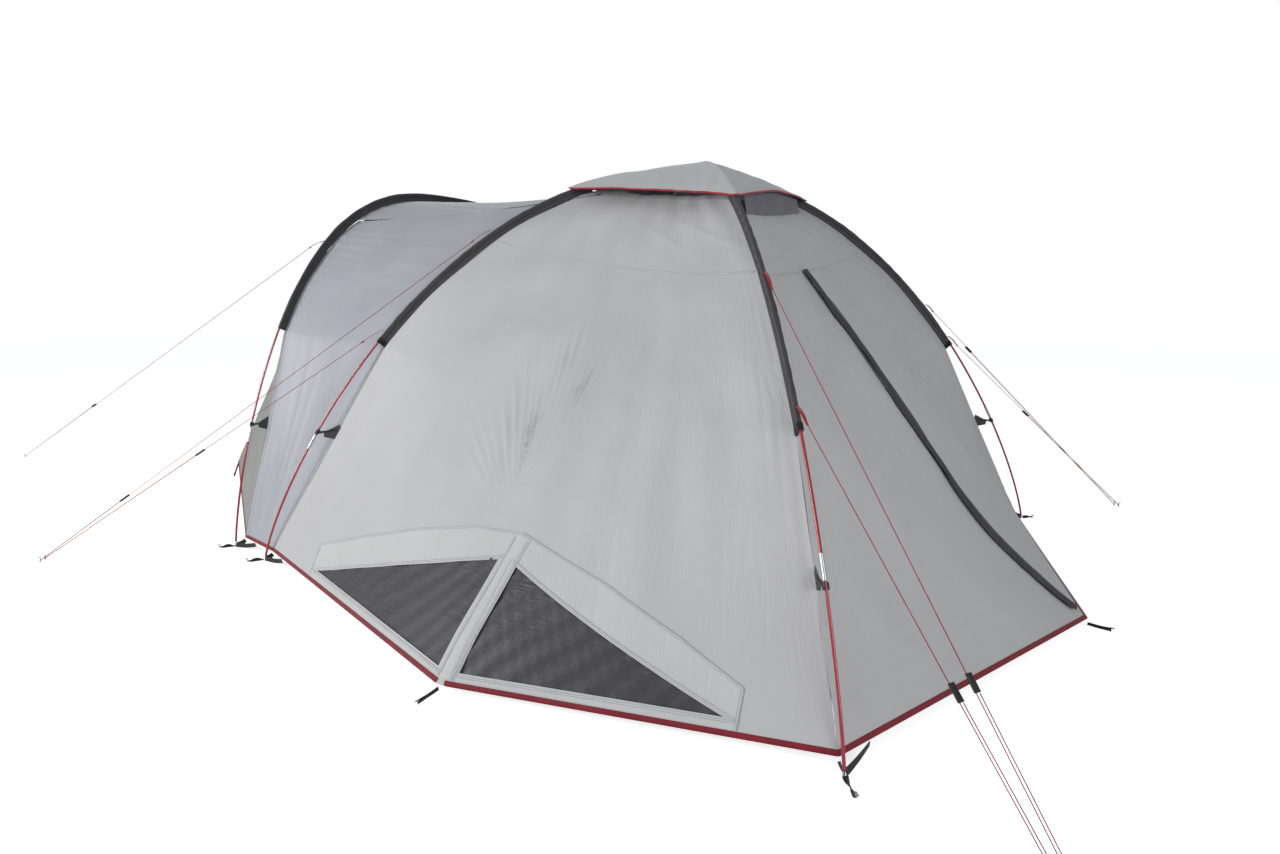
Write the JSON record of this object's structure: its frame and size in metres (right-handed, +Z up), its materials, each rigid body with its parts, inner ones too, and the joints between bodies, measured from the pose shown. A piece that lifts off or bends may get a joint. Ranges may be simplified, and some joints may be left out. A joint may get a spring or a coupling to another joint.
{
  "type": "dome tent",
  "caption": "Free-standing dome tent with two crossed poles, a hooped porch, side vents, a zipped rear door, webbing peg loops and guy lines.",
  "frame": {"origin": "on the ground, at the middle of the pitched tent's box, guy lines left out", "axes": "+X towards the rear door, -X the porch, -Y the near side, +Z up"},
  "size_m": [7.034, 4.142, 1.81],
  "materials": {
    "fly": "coated woven polyester",
    "mesh": "dark tinted film and mesh",
    "pole": "lacquered glass fibre",
    "steel": "plain",
    "sleeve": "dark woven polyester",
    "binding": "woven red tape",
    "webbing": "black webbing",
    "hard_plastic": "moulded",
    "inner": "breathable polyester",
    "floor": "coated ground sheet",
    "guy_line": "braided cord"
  },
  "bodies": {
    "tent": {"dome_pole_a": "pole", "dome_pole_b": "pole", "porch_pole": "pole", "pole_ferrules": "steel", "pole_foot_pins": "steel", "near_rear_sleeve": "sleeve", "far_rear_sleeve": "sleeve", "near_front_sleeve": "sleeve", "far_front_sleeve": "sleeve", "porch_sleeve": "sleeve", "roof_cap": "fly", "vent_mesh": "mesh", "near_side_panel": "fly", "far_side_panel": "fly", "near_window_mesh": "mesh", "far_window_mesh": "mesh", "rear_near_panel": "fly", "rear_far_panel": "fly", "porch_near_wall": "fly", "porch_far_wall": "fly", "porch_roof": "fly", "porch_front_near": "fly", "porch_front_far": "fly", "porch_front_top": "fly", "hem_tape": "binding", "inner_tent": "inner", "inner_front_wall": "inner", "groundsheet": "floor", "inner_toggles": "hard_plastic", "rear_zip_coil": "hard_plastic", "rear_zip_flap": "sleeve", "pole_clips": "hard_plastic", "foot_straps": "webbing", "peg_straps": "webbing", "hook_pegs": "steel", "guy_tabs": "binding", "guy_pegs": "steel", "guy_line_1": "guy_line", "guy_line_2": "guy_line", "guy_line_3": "guy_line", "guy_line_4": "guy_line", "guy_line_5": "guy_line", "guy_line_6": "guy_line", "guy_line_7": "guy_line"},
    "rear_door": {"rear_door_leaf": "fly"},
    "porch_door": {"porch_door_leaf": "fly"},
    "zip_slider": {"rear_zip_slider": "steel"},
    "zip_puller": {"rear_zip_puller": "hard_plastic"},
    "runner_1_body": {"runner_1": "hard_plastic"},
    "runner_2_body": {"runner_2": "hard_plastic"},
    "runner_3_body": {"runner_3": "hard_plastic"},
    "runner_4_body": {"runner_4": "hard_plastic"},
    "runner_5_body": {"runner_5": "hard_plastic"},
    "runner_6_body": {"runner_6": "hard_plastic"},
    "runner_7_body": {"runner_7": "hard_plastic"}
  },
  "joints": [
    {"name": "rear_door_swing", "type": "hinge", "parent": "tent", "child": "rear_door", "pos_m": [1.9825, 1.44, 0.045], "axis": [-0.3155, -0.3914, 0.8645], "range_deg": [0, 35]},
    {"name": "porch_door_swing", "type": "hinge", "parent": "tent", "child": "porch_door", "pos_m": [-2.4475, 0.657, 0.12], "axis": [-0.745, -0.095, -0.6602], "range_deg": [0, 35]},
    {"name": "rear_zip_run", "type": "hinge", "parent": "tent", "child": "zip_slider", "pos_m": [3.96326, 0.70335, 2.10359], "axis": [-0.3419, 0.9365, -0.0786], "range_deg": [0, 14.01]},
    {"name": "zip_puller_swing", "type": "hinge", "parent": "zip_slider", "child": "zip_puller", "pos_m": [2.14483, -0.11318, 0.28223], "axis": [0.255, -0.967, 0], "range_deg": [-1, 3]},
    {"name": "runner_1_slide", "type": "slide", "parent": "tent", "child": "runner_1_body", "axis": [-0.9169, -0.1016, -0.386], "range_m": [-0.2, 0.2]},
    {"name": "runner_2_slide", "type": "slide", "parent": "tent", "child": "runner_2_body", "axis": [-0.6001, -0.5367, -0.5931], "range_m": [-0.2, 0.2]},
    {"name": "runner_3_slide", "type": "slide", "parent": "tent", "child": "runner_3_body", "axis": [-0.6445, -0.5217, -0.5589], "range_m": [-0.2, 0.2]},
    {"name": "runner_4_slide", "type": "slide", "parent": "tent", "child": "runner_4_body", "axis": [0.5881, -0.3685, -0.72], "range_m": [-0.2, 0.2]},
    {"name": "runner_5_slide", "type": "slide", "parent": "tent", "child": "runner_5_body", "axis": [0.6265, -0.3361, -0.7032], "range_m": [-0.2, 0.2]},
    {"name": "runner_6_slide", "type": "slide", "parent": "tent", "child": "runner_6_body", "axis": [0.4724, 0.6188, -0.6277], "range_m": [-0.2, 0.2]},
    {"name": "runner_7_slide", "type": "slide", "parent": "tent", "child": "runner_7_body", "axis": [0.489, 0.6261, -0.6074], "range_m": [-0.2, 0.2]}
  ]
}
